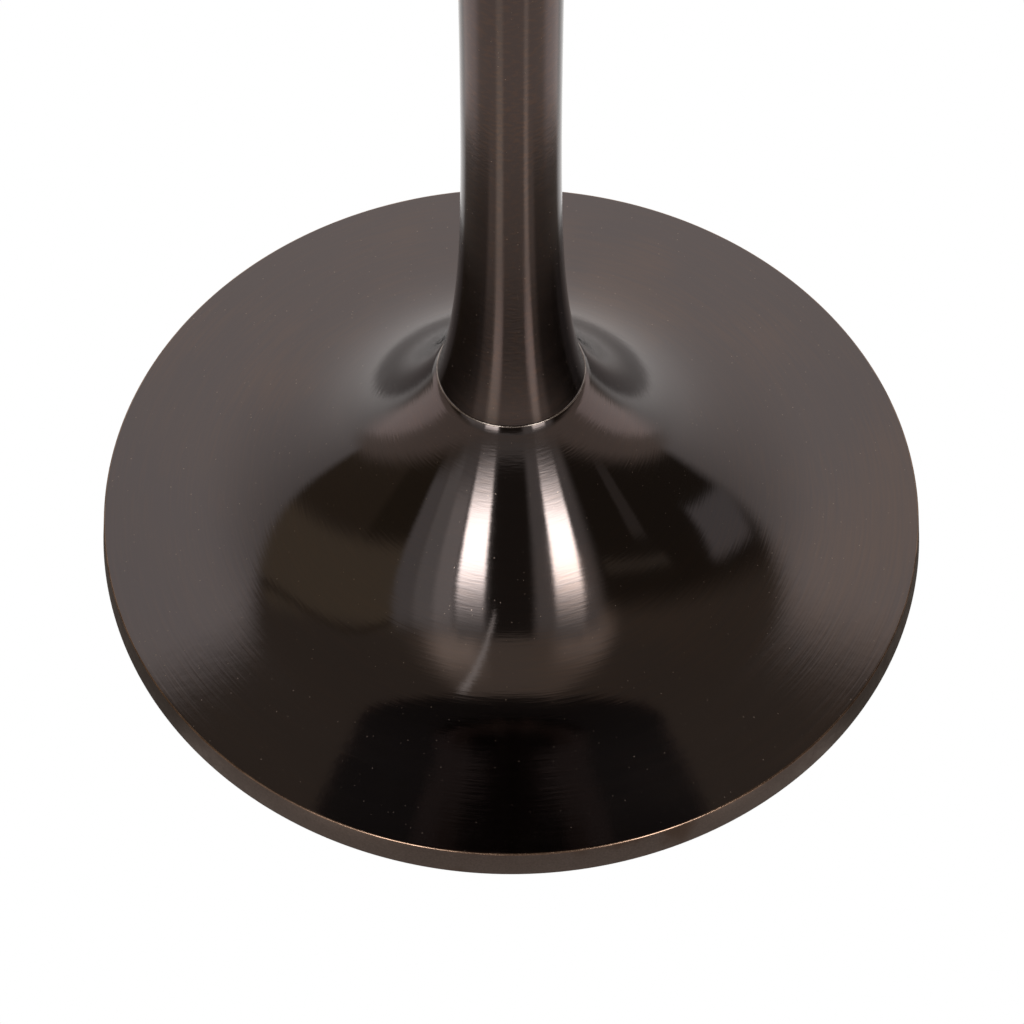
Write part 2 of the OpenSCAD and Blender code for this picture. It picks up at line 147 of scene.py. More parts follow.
class Socket:
    """A node's output. Arithmetic on it adds Math nodes to its tree."""

    def __init__(self, tree, link):
        self.tree = tree
        self.link = link

    def maths(self, operation, *values):
        return self.tree.node("ShaderNodeMath", {"operation": operation}, dict(enumerate(values)))

    def __add__(self, other):
        return self.maths("ADD", self, other)

    def __radd__(self, other):
        return self.maths("ADD", other, self)

    def __sub__(self, other):
        return self.maths("SUBTRACT", self, other)

    def __rsub__(self, other):
        return self.maths("SUBTRACT", other, self)

    def __mul__(self, other):
        return self.maths("MULTIPLY", self, other)

    def __rmul__(self, other):
        return self.maths("MULTIPLY", other, self)

    def __truediv__(self, other):
        return self.maths("DIVIDE", self, other)

    def __rtruediv__(self, other):
        return self.maths("DIVIDE", other, self)

    def __pow__(self, other):
        return self.maths("POWER", self, other)

    def __neg__(self):
        return self.maths("MULTIPLY", self, -1.0)

    def __gt__(self, other):
        return self.maths("GREATER_THAN", self, other)

    def __lt__(self, other):
        return self.maths("LESS_THAN", self, other)

    def least(self, other):
        return self.maths("MINIMUM", self, other)

    def most(self, other):
        return self.maths("MAXIMUM", self, other)

    def parts(self):
        """The x, y and z of a vector."""
        return self.tree.node("ShaderNodeSeparateXYZ", {}, {0: self}, outputs=3)


class Tree:
    """A node tree being built."""

    def __init__(self, nodes_in):
        self.nodes_in = nodes_in

    def node(self, kind, settings=None, inputs=None, outputs=None):
        """Adds a node. outputs is None for the first, a name, or how many to return."""
        made = self.nodes_in.nodes.new(kind)
        for name, value in (settings or {}).items():
            if name == "items":
                while len(made.index_switch_items) < value:
                    made.index_switch_items.new()
            else:
                setattr(made, name, value)
        for name, value in (inputs or {}).items():
            values = value if isinstance(value, list) and isinstance(value[0], Socket) else [value]
            for one in values:
                if isinstance(one, Socket):
                    self.nodes_in.links.new(one.link, made.inputs[name])
                else:
                    made.inputs[name].default_value = one
        if isinstance(outputs, int):
            return [Socket(self, made.outputs[i]) for i in range(outputs)]
        shown = [o for o in made.outputs if o.enabled]
        return Socket(self, made.outputs[outputs] if outputs else shown[0]) if shown else made

    def vector(self, x, y, z):
        return self.node("ShaderNodeCombineXYZ", {}, {0: x, 1: y, 2: z})


# ---- Geometry Nodes: turned outlines and what repeats round the axis ----

class Shape(Tree):
    """A Geometry Nodes tree with named inputs, run once to give a plain mesh."""

    def __init__(self, name):
        super().__init__(bpy.data.node_groups.new(name, "GeometryNodeTree"))
        self.name = name
        self.values = {}
        self.entry = self.nodes_in.nodes.new("NodeGroupInput")

    def size(self, name, value):
        """A named input and its value for this piece."""
        kind = "NodeSocketInt" if isinstance(value, int) else "NodeSocketFloat"
        made = self.nodes_in.interface.new_socket(name, in_out="INPUT", socket_type=kind)
        self.values[made.identifier] = value
        return Socket(self, self.entry.outputs[name])

    def index(self):
        return self.node("GeometryNodeInputIndex")

    def points(self, places):
        """A row of joined points at (radius, height) places."""
        switch = {0: self.index()}
        for i, (r, z) in enumerate(places):
            switch[i + 1] = (r, 0.0, z)
        place = self.node(
            "GeometryNodeIndexSwitch", {"data_type": "VECTOR", "items": len(places)}, switch
        )
        return self.row(len(places), place)

    def row(self, count, place):
        """A row of count joined points, put at place where place is a socket."""
        line = self.node("GeometryNodeMeshLine", {}, {"Count": count})
        return self.node("GeometryNodeSetPosition", {}, {"Geometry": line, "Position": place})

    def join(self, *parts):
        """Joins meshes, keeping their points in the order given."""
        joined = parts[0]
        for part in parts[1:]:
            joined = self.node("GeometryNodeJoinGeometry", {}, {"Geometry": [part, joined]})
        return joined

    def trumpet(self, sizes, steps, inwards, depth=0.0):
        """The radius of each point of a trumpet's face, and its height above the face's edge.

        The face's angle stays near the edge angle, bends at a share of the way in, and then grows
        evenly up to the neck angle. Heights are summed from the slope at the middle of each step.
        """
        i = self.index()
        bend, width = sizes["bend"], sizes["bend_width"]

        def bent(t):
            return (t - bend + ((t - bend) ** 2 + width * width) ** 0.5) / 2

        def bent_number(t):
            across = t - bend
            return (across + (across * across + width * width) ** 0.5) / 2

        def tangent(t):
            first, last = bent_number(0.0), bent_number(1.0)
            share = (bent(t) - first) / (last - first)
            angle = sizes["edge_angle"] + (sizes["neck_angle"] - sizes["edge_angle"]) * share
            return angle.maths("TANGENT", angle)

        def along(steps_in):
            return steps_in / steps if inwards else 1.0 - steps_in / steps

        step_rise = tangent(along(i - 0.5)) * (i > 0.5)
        summed = self.node(
            "GeometryNodeAccumulateField", {"domain": "POINT"}, {0: step_rise}, outputs=3
        )
        climbed = summed[0] / summed[2]
        height = climbed if inwards else 1.0 - climbed
        run = sizes["edge_r"] - sizes["neck_r"]
        slope = tangent(along(i)) * sizes["rise"] * steps / (summed[2] * run)
        angle = slope.maths("ARCTANGENT", slope)
        r = sizes["edge_r"] - run * along(i) - depth * angle.maths("SINE", angle)
        z = sizes["rise"] * height - depth * angle.maths("COSINE", angle)
        return r, z

    def revolve(self, outline, segments):
        """Turns an outline in the XZ plane about Z. The outside of the outline runs downwards."""
        around = segments + 1
        count = self.node(
            "GeometryNodeAttributeDomainSize", {"component": "MESH"}, {"Geometry": outline}
        )
        grid = self.node("GeometryNodeMeshGrid", {}, {"Vertices X": count, "Vertices Y": around})
        i = self.index()
        level = (i / around).maths("FLOOR", i / around + 1e-4)
        where = self.node("GeometryNodeInputPosition")
        point = self.node(
            "GeometryNodeSampleIndex",
            {"data_type": "FLOAT_VECTOR", "domain": "POINT"},
            {"Geometry": outline, "Value": where, "Index": level},
        )
        r, _, z = point.parts()
        angle = (i - level * around) * TAU / segments
        place = self.vector(
            r * angle.maths("COSINE", angle), r * angle.maths("SINE", angle), z
        )
        turned = self.node("GeometryNodeSetPosition", {}, {"Geometry": grid, "Position": place})
        return self.node(
            "GeometryNodeMergeByDistance", {}, {"Geometry": turned, "Distance": MERGE_DISTANCE}
        )

    def cylinder(self, r, low, high, x=0.0, sides=HOLE_SIDES):
        made = self.node(
            "GeometryNodeMeshCylinder",
            {"fill_type": "NGON"},
            {"Vertices": sides, "Radius": r, "Depth": high - low},
        )
        return self.moved(made, (x, 0, (low + high) / 2))

    def block(self, low, high):
        made = self.node(
            "GeometryNodeMeshCube", {}, {"Size": [b - a for a, b in zip(low, high)]}
        )
        return self.moved(made, [(a + b) / 2 for a, b in zip(low, high)])

    def moved(self, geometry, place):
        return self.node(
            "GeometryNodeTransform", {}, {"Geometry": geometry, "Translation": place}
        )

    def around(self, piece, count, first=0.0):
        """Copies of piece, turned evenly round the axis from the angle first, of which only the
        first is in place: the plain position isn't heeded, so the others stand 1 m apart above it.
        """
        spots = self.row(count, (0.0, 0.0, 0.0))
        turn = self.index() * TAU / count + first
        return self.real(self.node(
            "GeometryNodeInstanceOnPoints",
            {},
            {"Points": spots, "Instance": piece, "Rotation": self.vector(0.0, 0.0, turn)},
        ))

    def real(self, geometry):
        return self.node("GeometryNodeRealizeInstances", {}, {"Geometry": geometry})

    def cut(self, piece, *tools):
        """piece with the tools taken away."""
        return self.node(
            "GeometryNodeMeshBoolean",
            {"operation": "DIFFERENCE", "solver": "EXACT"},
            {"Mesh 1": piece, "Mesh 2": list(tools)},
            outputs="Mesh",
        )

    def weld(self, geometry):
        return self.node(
            "GeometryNodeMergeByDistance", {}, {"Geometry": geometry, "Distance": WELD_DISTANCE}
        )

    def faces_down(self):
        across = self.node("GeometryNodeInputNormal", {}, {}).parts()
        return across[2] < DOWN_LIMIT

    def paint(self, geometry, material, where=True):
        return self.node(
            "GeometryNodeSetMaterial",
            {},
            {"Geometry": geometry, "Material": material, "Selection": where},
        )

    def run(self, geometry, material, extra=(), bend_angle=30):
        """The finished mesh as an object at the origin, with the tree's modifier gone.

        extra holds pairs of a material and where it is used in place of the first.
        """
        painted = self.paint(self.weld(self.real(geometry)), material)
        for other, where in extra:
            painted = self.paint(painted, other, where)
        self.nodes_in.interface.new_socket(
            "Geometry", in_out="OUTPUT", socket_type="NodeSocketGeometry"
        )
        self.node("NodeGroupOutput", {}, {0: painted})
        piece = bpy.data.objects.new(self.name, bpy.data.meshes.new(self.name))
        bpy.context.scene.collection.objects.link(piece)
        modifier = piece.modifiers.new("shape", "NODES")
        modifier.node_group = self.nodes_in
        for identifier, value in self.values.items():
            modifier[identifier] = value
        seen = piece.evaluated_get(bpy.context.evaluated_depsgraph_get())
        mesh = bpy.data.meshes.new_from_object(seen)
        piece.modifiers.remove(modifier)
        piece.data = mesh
        mesh.shade_smooth()
        mesh.set_sharp_from_angle(angle=math.radians(bend_angle))
        return piece


def arc(centre, radius, start, stop, count=5):
    """Points round part of a circle, in degrees from +r towards +z."""
    places = []
    for k in range(count):
        a = math.radians(start + (stop - start) * k / (count - 1))
        places.append((centre[0] + radius * math.cos(a), centre[1] + radius * math.sin(a)))
    return places


# ---- Materials ----

def colour_mix(tree, factor, a, b):
    """a where factor is 0 and b where it is 1. Each is a socket or a plain colour."""
    first, second = (c if isinstance(c, Socket) else (*c, 1) for c in (a, b))
    return tree.node(
        "ShaderNodeMix",
        {"data_type": "RGBA", "clamp_factor": True},
        {0: factor, 6: first, 7: second},
        outputs="Result",
    )


def finish_of(name, **constants):
    """A material, its tree and its shader, with constants on the shader's own sockets."""
    material = bpy.data.materials.new(name)
    material.use_nodes = True
    tree = Tree(material.node_tree)
    shader = material.node_tree.nodes["Principled BSDF"]
    for socket, value in constants.items():
        shader.inputs[socket.replace("_", " ")].default_value = value
    return material, tree, shader


def feed(tree, shader, **inputs):
    for socket, value in inputs.items():
        tree.nodes_in.links.new(value.link, shader.inputs[socket.replace("_", " ")])


class Pattern:
    """Positions and noises on a piece turned about Z."""

    def __init__(self, tree):
        self.tree = tree
        self.place = tree.node("ShaderNodeTexCoord", {}, {}, outputs="Object")
        self.x, self.y, self.z = self.place.parts()
        self.r = (self.x * self.x + self.y * self.y) ** 0.5

    def noise(self, where, scale, detail=2.0, rough=0.5):
        return self.tree.node(
            "ShaderNodeTexNoise",
            {"noise_dimensions": "3D"},
            {"Vector": where, "Scale": scale, "Detail": detail, "Roughness": rough},
        )

    def cloud(self, scale, detail=2.0, rough=0.5):
        return self.noise(self.place, scale, detail, rough)

    def lathe_lines(self, per_metre, around, detail=2.0):
        """Lines that run round the axis, per_metre apart along the outline."""
        along = (self.z - self.r) * per_metre
        return self.noise(
            self.tree.vector(along, self.x / self.r * around, self.y / self.r * around),
            1.0, detail,
        )

    def over(self, value, start, stop, low=0.0, high=1.0):
        return self.tree.node(
            "ShaderNodeMapRange",
            {"interpolation_type": "SMOOTHSTEP"},
            {0: value, 1: start, 2: stop, 3: low, 4: high},
        )

    def specks(self, per_metre, size, share):
        """Small round specks, in a share of the cells."""
        cells = self.tree.node(
            "ShaderNodeTexVoronoi", {"feature": "F1"},
            {"Vector": self.place, "Scale": per_metre}, outputs=2,
        )
        chance = self.tree.node("ShaderNodeSeparateColor", {}, {0: cells[1]}, outputs=3)
        near = self.over(cells[0], size * (0.4 + chance[1]), 0.0)
        return near * (chance[0] < share)

    def bump(self, height, depth, normal=None):
        inputs = {"Strength": 1.0, "Distance": depth, "Height": height}
        if normal is not None:
            inputs["Normal"] = normal
        return self.tree.node("ShaderNodeBump", {}, inputs)


NICKEL = (0.096, 0.080, 0.077)
COPPER = (0.19, 0.115, 0.075)
SMOKE = (0.078, 0.072, 0.080)
# painted shade: the dark tone the tube takes just above the seam
SEAM_SHADE = (0.035, 0.030, 0.028)
DUST = (0.32, 0.25, 0.20)
BAND_LOW, BAND_HIGH = (0.090, 0.073, 0.066), (0.146, 0.118, 0.107)
BAND_STAIN = (0.06, 0.033, 0.018)
FIBRE_LOW, FIBRE_HIGH = (0.24, 0.15, 0.085), (0.50, 0.36, 0.23)


def plated_metal(name, rough=0.08, line_depth=2.8e-5, line_tint=0.05, seam_shade_z=None):
    """Black nickel over copper, brushed on the lathe: fine lines round the axis, copper clouds,
    slanting smoky bands and dust, and painted shade below the given seam height, darkest at the
    seam."""
    material, tree, shader = finish_of(
        name, Metallic=1.0, Anisotropic=0.7, Anisotropic_Rotation=0.25
    )
    p = Pattern(tree)
    fine = p.lathe_lines(620, 6, detail=3.0)
    broad = p.lathe_lines(120, 2)
    polish = p.cloud(150, 2.0)
    copper_stain = p.over(p.cloud(7, 3.0), 0.50, 0.72)
    smoke_stain = p.over(p.noise(p.place + 3.1, 5, 3.0), 0.48, 0.70)
    specks = p.specks(330, 0.15, 0.35)
    tint = copper_stain * 0.14 + p.over(fine, 0.3, 0.7, -line_tint, line_tint)
    colour = colour_mix(tree, smoke_stain * 0.5, NICKEL, SMOKE)
    colour = colour_mix(tree, tint, colour, COPPER)
    if seam_shade_z is not None:
        # painted shade: darker towards the seam between the tube and the foot
        seam_shade = p.over(p.z + (p.cloud(60) - 0.5) * 0.008, seam_shade_z, seam_shade_z - 0.012)
        colour = colour_mix(tree, seam_shade * 0.6, colour, SEAM_SHADE)
    colour = colour_mix(tree, specks * 0.55, colour, DUST)
    dull = p.over(p.cloud(14), 0.45, 0.8)
    roughness = rough + (broad - 0.5) * 0.05 + dull * 0.03 + specks * 0.3
    feed(tree, shader, Base_Color=colour, Roughness=roughness)
    waves = p.bump(polish, 1.2e-5)
    feed(tree, shader, Normal=p.bump(fine, line_depth, waves))
    return material


def cast_band(name):
    """The matt band round the rim: plated over the cast skin, with stains."""
    material, tree, shader = finish_of(name, Metallic=1.0)
    p = Pattern(tree)
    grain = p.cloud(900, 4.0, 0.6)
    lumps = p.cloud(160, 3.0)
    stain = p.over(p.cloud(26, 3.0), 0.58, 0.72)
    colour = colour_mix(tree, p.over(grain, 0.3, 0.7) * 0.5, BAND_LOW, BAND_HIGH)
    colour = colour_mix(tree, stain * 0.6, colour, BAND_STAIN)
    feed(tree, shader, Base_Color=colour, Roughness=p.over(lumps, 0.3, 0.7, 0.34, 0.48))
    feed(tree, shader, Normal=p.bump(lumps + grain * 0.4, 6e-5))
    return material


def mottled(name, low, high, rough, scale, depth=2e-5, metallic=1.0, spread=0.08):
    """A finish between two colours in clouds, with a fine grain."""
    material, tree, shader = finish_of(name, Metallic=metallic)
    p = Pattern(tree)
    clouds = p.over(p.cloud(scale, 3.0), 0.3, 0.7)
    grain = p.cloud(scale * 9, 3.0, 0.6)
    feed(
        tree, shader,
        Base_Color=colour_mix(tree, clouds * 0.7 + grain * 0.3, low, high),
        Roughness=p.over(grain, 0.25, 0.75, rough - spread, rough + spread),
    )
    feed(tree, shader, Normal=p.bump(grain + clouds * 0.5, depth))
    return material


def boarded(name):
    """Fibreboard: pressed fibres in thin layers."""
    material, tree, shader = finish_of(name, Metallic=0.0)
    p = Pattern(tree)
    layers = p.noise(tree.vector(p.x * 60, p.y * 60, p.z * 900), 1.0, 3.0, 0.6)
    fibres = p.cloud(700, 4.0, 0.7)
    colour = colour_mix(tree, layers * 0.5 + fibres * 0.5, FIBRE_LOW, FIBRE_HIGH)
    feed(tree, shader, Base_Color=colour, Roughness=p.over(fibres, 0.2, 0.8, 0.75, 0.92))
    feed(tree, shader, Normal=p.bump(fibres, 1.2e-4))
    return material


PLATED = plated_metal("black_nickel")
# the tube gets painted shade over its bottom, just above the seam
TUBE = plated_metal("black_nickel_tube", rough=0.13, line_tint=0.20, seam_shade_z=SEAM_Z + 0.008)
BAND = cast_band("plated_cast_band")
WORN = mottled("worn_edge", (0.13, 0.085, 0.062), (0.30, 0.20, 0.145), 0.22, 90)
# painted highlight: a lighter finish on the seam collar stands in for the bright line of light
# round it
COLLAR_GLINT = mottled("painted_collar_glint", (0.15, 0.125, 0.11), (0.36, 0.31, 0.28), 0.24, 140)
CAST = mottled("raw_casting", (0.030, 0.028, 0.027), (0.075, 0.070, 0.066), 0.62, 120, 1.5e-4)
IRON = mottled("raw_iron", (0.045, 0.040, 0.037), (0.12, 0.10, 0.088), 0.58, 80, 1.5e-4)
ZINC = mottled("zinc_steel", (0.40, 0.41, 0.43), (0.66, 0.64, 0.58), 0.33, 160)
SPRING = mottled("spring_steel", (0.13, 0.125, 0.12), (0.24, 0.23, 0.21), 0.38, 200)
OXIDE = mottled("black_steel", (0.020, 0.020, 0.022), (0.060, 0.058, 0.058), 0.36, 200)
BRASS = mottled("insert_brass", (0.52, 0.34, 0.12), (0.76, 0.56, 0.26), 0.28, 180)
NYLON = mottled("pad_nylon", (0.012, 0.012, 0.013), (0.030, 0.029, 0.028), 0.55, 150, 3e-5, 0.0)
SHEET = mottled("black_laminate", (0.024, 0.024, 0.026), (0.038, 0.037, 0.039), 0.50, 40, 5e-5, 0.0)
BOARD = boarded("fibreboard")

CORNERS = [side + "_" + end for side in ("front", "rear") for end in ("right", "left")]
SMALL_PARTS = {
    IRON: ["ballast_ring"],
    OXIDE: ["ballast_screws", "flange_screws"],
    ZINC: [
        "ballast_washers", "tie_rod", "lower_washer", "lower_nut", "upper_washer", "upper_nut",
        "flange_washers", *[corner + "_stud" for corner in CORNERS],
    ],
    SPRING: ["lower_spring_washer", "upper_spring_washer", "lower_key_pin", "upper_key_pin"],
    BRASS: ["threaded_inserts"],
    NYLON: [corner + "_pad" for corner in CORNERS],
    SHEET: ["underside_sheet"],
    BOARD: ["top_core"],
}


# ---- Pieces ----

def finished(piece, node):
    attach(piece, "table")
    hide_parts(node)


def base_casting():
    s = Shape("foot")
    segments = s.size("Segments", SEGMENTS)
    steps = s.size("Steps", FOOT_STEPS)
    rise = s.size("Rise", SEAM_Z - RIM_TOP_Z)
    sizes = {
        "edge_r": s.size("Edge radius", RIM_TOP_R - RIM_BEVEL),
        "neck_r": s.size("Neck radius", NECK_R),
        "rise": rise,
        "edge_angle": s.size("Edge angle", FOOT_EDGE_ANGLE),
        "neck_angle": s.size("Neck angle", FOOT_NECK_ANGLE),
        "bend": s.size("Bend", FOOT_BEND),
        "bend_width": s.size("Bend width", BEND_WIDTH),
    }
    wall = s.size("Wall", CAST_WALL)
    ribs = s.size("Ribs", RIBS)
    spigot_z = SEAM_Z + SPIGOT_H
    web_z = SEAM_Z - WEB_T
    inner_r = RIM_R - RIM_RING_W
    under_z = RIM_GAP - OVERSHOOT

    r, z = s.trumpet(sizes, steps, inwards=False)
    face_z = z.least(rise - NECK_ROUND - HAIR) + RIM_TOP_Z
    face = s.row(steps + 1, s.vector(r, 0.0, face_z))
    neck = s.points(
        [
            (0, spigot_z),
            (SPIGOT_R - SPIGOT_BEVEL, spigot_z),
            (SPIGOT_R, spigot_z - SPIGOT_BEVEL),
            (SPIGOT_R, SEAM_Z),
        ]
        + arc((NECK_R - NECK_ROUND, SEAM_Z - NECK_ROUND), NECK_ROUND, 90, 0)
    )
    top_centre = (RIM_TOP_R - RIM_BEVEL, RIM_TOP_Z - RIM_BEVEL)
    foot_centre = (RIM_R - RIM_FOOT_ROUND, RIM_GAP + RIM_FOOT_ROUND)
    rim = s.points(
        arc(top_centre, RIM_BEVEL, RIM_FACE_TURN, RIM_BAND_TURN, 6)
        + arc(foot_centre, RIM_FOOT_ROUND, RIM_BAND_TURN, -90, 6)
        + [(0, RIM_GAP)]
    )
    solid = s.revolve(s.join(neck, face, rim), segments)

    r, z = s.trumpet(sizes, steps, inwards=False, depth=wall)
    inside = s.row(steps + 1, s.vector(r.least(inner_r), 0.0, (z + RIM_TOP_Z).least(web_z)))
    hollow = s.revolve(
        s.join(s.points([(0, web_z)]), inside, s.points([(inner_r, under_z), (0, under_z)])),
        COLUMN_SEGMENTS,
    )
    rib = s.block(
        (ballast_high.x + RIB_LAP, -RIB_T / 2, RIM_GAP + RIB_LAP),
        (inner_r + RIB_LAP, RIB_T / 2, SEAM_Z),
    )
    seat_z = ballast_high.z
    boss = s.cylinder(BOSS_R, seat_z, SEAM_Z, BALLAST_SCREW_R)
    boss_hole = s.cylinder(
        BOSS_HOLE_R, seat_z - OVERSHOOT, seat_z + BOSS_HOLE_H, BALLAST_SCREW_R
    )
    hollow = s.cut(
        hollow,
        s.around(rib, ribs, math.pi / RIBS),
        s.around(boss, BALLAST_SCREWS),
    )
    glide_r = RIM_R - RIM_RING_W / 2
    pocket = s.cylinder(GLIDE_POCKET_R, under_z, GLIDE_POCKET_Z, glide_r)
    stud_hole = s.cylinder(STUD_HOLE_R, under_z, STUD_HOLE_Z, glide_r)
    body = s.cut(solid, hollow)
    body = s.cut(
        body,
        s.cylinder(ROD_HOLE_R, web_z - OVERSHOOT, spigot_z + OVERSHOOT),
        s.around(boss_hole, BALLAST_SCREWS),
        s.around(pocket, GLIDES, math.pi / GLIDES),
        s.around(stud_hole, GLIDES, math.pi / GLIDES),
        s.cylinder(KEY_R, SEAM_Z - KEY_IN, spigot_z + OVERSHOOT, SPIGOT_R + HAIR),
    )
    x, y, height = s.node("GeometryNodeInputPosition").parts()
    out = (x * x + y * y) ** 0.5
    on_band = (out > RIM_TOP_R - BAND_MARGIN) * (height < RIM_TOP_Z - BAND_MARGIN)
    on_edge = (out > RIM_TOP_R - RIM_BEVEL) * (height > RIM_TOP_Z - RIM_BEVEL - HAIR)
    # painted highlight on the collar at the seam
    on_collar = (out > COLUMN_END_R - HAIR) * (height > SEAM_Z - NECK_ROUND - COLLAR_MARGIN)
    rough_cast = (out < inner_r + CAST_MARGIN) * s.faces_down()
    piece = s.run(
        body, PLATED,
        [(BAND, on_band), (WORN, on_edge), (COLLAR_GLINT, on_collar), (CAST, rough_cast)],
    )
    finished(piece, "base_casting")


def top_flange():
    s = Shape("flange")
    segments = s.size("Segments", COLUMN_SEGMENTS)
    steps = s.size("Steps", FLANGE_STEPS)
    rise = s.size("Rise", FLANGE_SEAT_Z - COLUMN_TOP_Z)
    sizes = {
        "edge_r": s.size("Edge radius", FLANGE_R),
        "neck_r": s.size("Neck radius", NECK_R),
        "rise": rise,
        "edge_angle": s.size("Edge angle", FLANGE_EDGE_ANGLE),
        "neck_angle": s.size("Neck angle", FLANGE_NECK_ANGLE),
        "bend": s.size("Bend", FLANGE_BEND),
        "bend_width": s.size("Bend width", BEND_WIDTH),
    }
    wall = s.size("Wall", CAST_WALL)
    screws = s.size("Screws", FLANGE_SCREWS)
    spigot_z = COLUMN_TOP_Z - SPIGOT_H
    web_z = COLUMN_TOP_Z + WEB_T
    over_z = FLANGE_TOP_Z + OVERSHOOT

    r, z = s.trumpet(sizes, steps, inwards=True)
    face_z = FLANGE_SEAT_Z - z.least(rise - NECK_ROUND - HAIR)
    face = s.row(steps + 1, s.vector(r, 0.0, face_z))
    edge = s.points(
        [(0, FLANGE_TOP_Z), (FLANGE_R, FLANGE_TOP_Z), (FLANGE_R, FLANGE_SEAT_Z + NECK_ROUND)]
    )
    neck = s.points(
        arc((NECK_R - NECK_ROUND, COLUMN_TOP_Z + NECK_ROUND), NECK_ROUND, 0, -90)
        + [
            (SPIGOT_R, COLUMN_TOP_Z),
            (SPIGOT_R, spigot_z + SPIGOT_BEVEL),
            (SPIGOT_R - SPIGOT_BEVEL, spigot_z),
            (0, spigot_z),
        ]
    )
    solid = s.revolve(s.join(edge, face, neck), segments)

    r, z = s.trumpet(sizes, steps, inwards=True, depth=wall)
    up = FLANGE_SEAT_Z - z + (z < FLANGE_MOUTH) * FLANGE_R
    inside = s.row(steps + 1, s.vector(r, 0.0, up.least(over_z).most(web_z)))
    hollow = s.revolve(
        s.join(s.points([(0, over_z)]), inside, s.points([(0, web_z)])), segments
    )
    screw_r = FLANGE_R - FLANGE_SCREW_IN
    hole = s.cylinder(FLANGE_HOLE_R, FLANGE_SEAT_Z - SPOT_DEPTH, over_z, screw_r)
    spot = s.cylinder(SPOT_FACE_R, FLANGE_SEAT_Z - SPOT_DEPTH, FLANGE_SEAT_Z, screw_r)
    body = s.cut(solid, hollow)
    body = s.cut(
        body,
        s.cylinder(ROD_HOLE_R, spigot_z - OVERSHOOT, web_z + OVERSHOOT),
        s.around(hole, screws),
        s.around(spot, screws),
        s.cylinder(KEY_R, spigot_z - OVERSHOOT, COLUMN_TOP_Z + KEY_IN, SPIGOT_R + HAIR),
    )
    finished(s.run(body, PLATED), "top_flange")


def top_skin():
    s = Shape("skin")
    segments = s.size("Segments", SEGMENTS)
    outline = s.points(
        [(0, TOP_Z), (TOP_R * 0.5, TOP_Z)]
        + arc((TOP_R - SKIN_BEVEL, TOP_Z - SKIN_BEVEL), SKIN_BEVEL, 90, 0, 6)
        + arc((TOP_R - SKIN_BEND, TOP_UNDER_Z + SKIN_BEND), SKIN_BEND, 0, -90, 8)
        + [
            (TOP_R - HEM_W, TOP_UNDER_Z),
            (TOP_R - HEM_W, TOP_UNDER_Z + SKIN_T),
            (TOP_R - SKIN_T - SKIN_INNER_BEVEL, TOP_UNDER_Z + SKIN_T),
            (TOP_R - SKIN_T, TOP_UNDER_Z + SKIN_T + SKIN_INNER_BEVEL),
            (TOP_R - SKIN_T, TOP_Z - SKIN_T - SKIN_INNER_BEVEL),
            (TOP_R - SKIN_T - SKIN_INNER_BEVEL, TOP_Z - SKIN_T),
            (0, TOP_Z - SKIN_T),
        ]
    )
    finished(s.run(s.revolve(outline, segments), PLATED), "top_skin")


def column_tube():
    s = Shape("column")
    segments = s.size("Segments", COLUMN_SEGMENTS)
    steps = s.size("Steps", COLUMN_STEPS)
    end_r = s.size("End radius", COLUMN_END_R)
    waist_r = s.size("Waist radius", COLUMN_WAIST_R)
    height = s.size("Height", COLUMN_TOP_Z - SEAM_Z)
    flare_length = s.size("Flare length", FLARE_LENGTH)
    wall = s.size("Wall", COLUMN_WALL)

    def radius(h):
        def flare(away):
            drop = away / flare_length
            return (end_r - waist_r) * drop.maths("EXPONENT", -drop)
        return (waist_r + flare(h) + flare(height - h)).least(end_r)

    u = s.index() / steps * math.pi
    bunched = (1.0 - u.maths("COSINE", u)) / 2
    down = height * (1.0 - bunched)
    up = height * bunched
    outer = s.row(steps + 1, s.vector(radius(down), 0.0, down + SEAM_Z))
    inner_r = (radius(up) - wall).least(SPIGOT_R + HAIR)
    inner = s.row(steps + 1, s.vector(inner_r, 0.0, up + SEAM_Z))
    close = s.points([(COLUMN_END_R, COLUMN_TOP_Z)])
    piece = s.run(s.revolve(s.join(outer, inner, close), segments), TUBE)
    finished(piece, "column_tube")


base_casting()
column_tube()
top_flange()
top_skin()
for material, names in SMALL_PARTS.items():
    for name in names:
        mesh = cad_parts[name].data
        mesh.materials.clear()
        mesh.materials.append(material)


# ---- Floor, light and camera ----

DEGREES = 360 / TAU
HORIZON_FLOOR = (0.46, 0.395, 0.35)


def rise_over(tree, value, start, stop):
    """0 below start and 1 above stop."""
    return tree.node(
        "ShaderNodeMapRange", {"interpolation_type": "SMOOTHSTEP"}, {0: value, 1: start, 2: stop}
    )


def patch(tree, value, low, high, soft):
    """1 between low and high."""
    return rise_over(tree, value, low - soft, low + soft) * (
        1.0 - rise_over(tree, value, high - soft, high + soft)
    )


def paper_behind(tree, side):
    """The white sweep's radiance, brightest straight behind."""
    middle = side * (1.1 / DEGREES)
    glow = middle.maths("COSINE", middle) * 1.2
    return tree.vector(glow * 1.01, glow, glow * 0.99)


